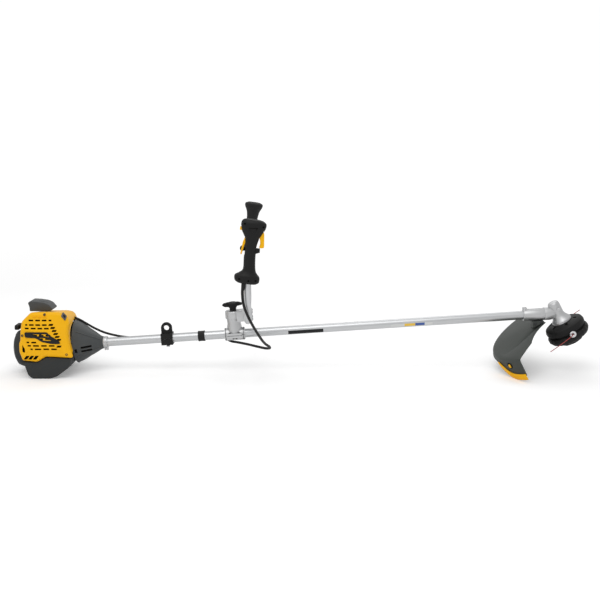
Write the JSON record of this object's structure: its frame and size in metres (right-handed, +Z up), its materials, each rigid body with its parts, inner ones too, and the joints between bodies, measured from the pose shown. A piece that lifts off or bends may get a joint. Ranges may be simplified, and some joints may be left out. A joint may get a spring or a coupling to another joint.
{
  "type": "string trimmer",
  "caption": "Petrol string trimmer with bull handlebar: yellow and black engine, straight aluminium shaft, angled gear case, bump-feed line head and guard.",
  "frame": {"origin": "centre of the fuel tank's flat foot, on the ground", "axes": "+X from the engine to the cutting head, +Y to the operator's left, +Z up"},
  "size_m": [1.8358, 0.6554, 0.5198],
  "materials": {
    "yellow_plastic": "moulded, satin gloss",
    "charcoal_plastic": "moulded, fine texture",
    "black_rubber": "matt",
    "grey_plastic": "moulded, fine texture",
    "filter_foam": "open foam",
    "drawn_aluminium": "satin, drawn",
    "cast_aluminium": "die cast, matt",
    "steel": "machined",
    "red_nylon": "drawn nylon"
  },
  "bodies": {
    "trimmer": {"crankcase": "cast_aluminium", "cylinder": "cast_aluminium", "spark_plug": "steel", "muffler": "steel", "carburettor": "cast_aluminium", "air_filter": "filter_foam", "engine_cover": "yellow_plastic", "air_filter_cover": "charcoal_plastic", "top_cover": "charcoal_plastic", "fuel_tank": "charcoal_plastic", "starter_housing": "charcoal_plastic", "clutch_housing": "charcoal_plastic", "housing_clamp": "cast_aluminium", "shaft_tube": "drawn_aluminium", "shaft_liner": "black_rubber", "harness_clamp": "charcoal_plastic", "cable_clip": "black_rubber", "clamp_lower": "cast_aluminium", "clamp_column": "cast_aluminium", "throttle_cable_run": "black_rubber", "throttle_cable_loop": "black_rubber", "gear_case": "cast_aluminium", "guard": "grey_plastic", "guard_bracket": "grey_plastic", "guard_extension": "yellow_plastic", "line_cutter": "steel"},
    "crank": {"crankshaft_front": "steel", "crankshaft_rear": "steel", "flywheel": "cast_aluminium", "clutch_shoes": "steel", "starter_ratchet": "steel"},
    "piston": {"piston": "cast_aluminium", "connecting_rod": "cast_aluminium"},
    "starter_grip": {"starter_grip": "charcoal_plastic"},
    "starter_pulley": {"starter_pulley": "charcoal_plastic"},
    "drive": {"clutch_drum": "steel", "drive_shaft": "steel", "pinion": "steel"},
    "head": {"output_gear": "steel", "collar_plate": "steel", "head_housing": "charcoal_plastic", "head_base": "charcoal_plastic", "cutting_line_near": "red_nylon", "cutting_line_far": "red_nylon"},
    "bump_feed": {"bump_knob": "charcoal_plastic", "line_spool": "charcoal_plastic"},
    "fuel_cap": {"fuel_cap": "charcoal_plastic"},
    "choke_lever": {"choke_lever": "yellow_plastic"},
    "primer_bulb": {"primer_bulb": "black_rubber"},
    "handlebar": {"swivel_bracket": "cast_aluminium", "bar_cap": "cast_aluminium", "handlebar_tube": "drawn_aluminium", "left_grip": "black_rubber", "throttle_grip_outer": "charcoal_plastic", "throttle_grip_inner": "charcoal_plastic"},
    "clamp_knob": {"clamp_knob": "charcoal_plastic"},
    "throttle_trigger": {"throttle_trigger": "yellow_plastic"},
    "lockout_lever": {"lockout_lever": "yellow_plastic"},
    "stop_switch": {"stop_switch": "yellow_plastic"},
    "half_throttle_knob": {"half_throttle_knob": "charcoal_plastic"}
  },
  "joints": [
    {"name": "crank_spin", "type": "hinge", "parent": "trimmer", "child": "crank", "pos_m": [0, 0, 0.081], "axis": [0.9978, 0, 0.0663], "continuous": true},
    {"name": "piston_stroke", "type": "slide", "parent": "trimmer", "child": "piston", "axis": [-0.0663, 0, 0.9978], "range_m": [-0.028, 0]},
    {"name": "starter_pull", "type": "slide", "parent": "trimmer", "child": "starter_grip", "axis": [-1, 0, 0], "range_m": [0, 0.6], "stiffness_N_per_m": 10},
    {"name": "starter_pulley_spin", "type": "hinge", "parent": "trimmer", "child": "starter_pulley", "pos_m": [0, 0, 0.081], "axis": [0.9978, 0, 0.0663], "range_deg": [0, 1376]},
    {"name": "drive_spin", "type": "hinge", "parent": "trimmer", "child": "drive", "pos_m": [0, 0, 0.081], "axis": [0.9978, 0, 0.0663], "continuous": true},
    {"name": "head_spin", "type": "hinge", "parent": "trimmer", "child": "head", "pos_m": [1.629, 0, 0.189], "axis": [-0.5, 0, 0.866], "continuous": true},
    {"name": "bump_press", "type": "slide", "parent": "head", "child": "bump_feed", "axis": [-0.5, 0, 0.866], "range_m": [0, 0.005], "stiffness_N_per_m": 1200},
    {"name": "fuel_cap_turn", "type": "hinge", "parent": "trimmer", "child": "fuel_cap", "pos_m": [0.05, 0.098, 0.036], "axis": [0, 1, 0], "range_deg": [0, 360]},
    {"name": "choke_turn", "type": "hinge", "parent": "trimmer", "child": "choke_lever", "pos_m": [-0.03, 0.105, 0.11], "axis": [0, 1, 0], "range_deg": [0, 75]},
    {"name": "primer_press", "type": "slide", "parent": "trimmer", "child": "primer_bulb", "axis": [0, -1, 0], "range_m": [0, 0.005], "stiffness_N_per_m": 400},
    {"name": "handlebar_swivel", "type": "hinge", "parent": "trimmer", "child": "handlebar", "pos_m": [0.59868, 0, 0.12076], "axis": [-0.0663, 0, 0.9978], "range_deg": [-90, 0], "deforming": ["throttle_cable_loop"]},
    {"name": "clamp_knob_turn", "type": "hinge", "parent": "trimmer", "child": "clamp_knob", "pos_m": [0.59868, 0, 0.12076], "axis": [-0.0663, 0, 0.9978], "range_deg": [0, 360]},
    {"name": "trigger_squeeze", "type": "hinge", "parent": "handlebar", "child": "throttle_trigger", "pos_m": [0.69582, -0.29316, 0.48339], "axis": [-0.0609, 0.9981, -0.004], "range_deg": [0, 14], "stiffness_Nm_per_rad": 0.2},
    {"name": "lockout_press", "type": "hinge", "parent": "handlebar", "child": "lockout_lever", "pos_m": [0.66052, -0.29537, 0.4693], "axis": [0.0609, -0.9981, 0.004], "range_deg": [0, 8], "stiffness_Nm_per_rad": 0.1},
    {"name": "stop_switch_slide", "type": "slide", "parent": "handlebar", "child": "stop_switch", "axis": [0.1422, 0.0127, 0.9898], "range_m": [0, 0.003]},
    {"name": "half_throttle_turn", "type": "hinge", "parent": "handlebar", "child": "half_throttle_knob", "pos_m": [0.65454, -0.28417, 0.43263], "axis": [-0.796, 0.5958, 0.1068], "range_deg": [0, 90]}
  ],
  "couplings": [
    {"joint": "head_spin", "follows": "drive_spin", "ratio": 0.70588},
    {"joint": "starter_pulley_spin", "follows": "starter_pull", "rad_per_m": 40}
  ]
}
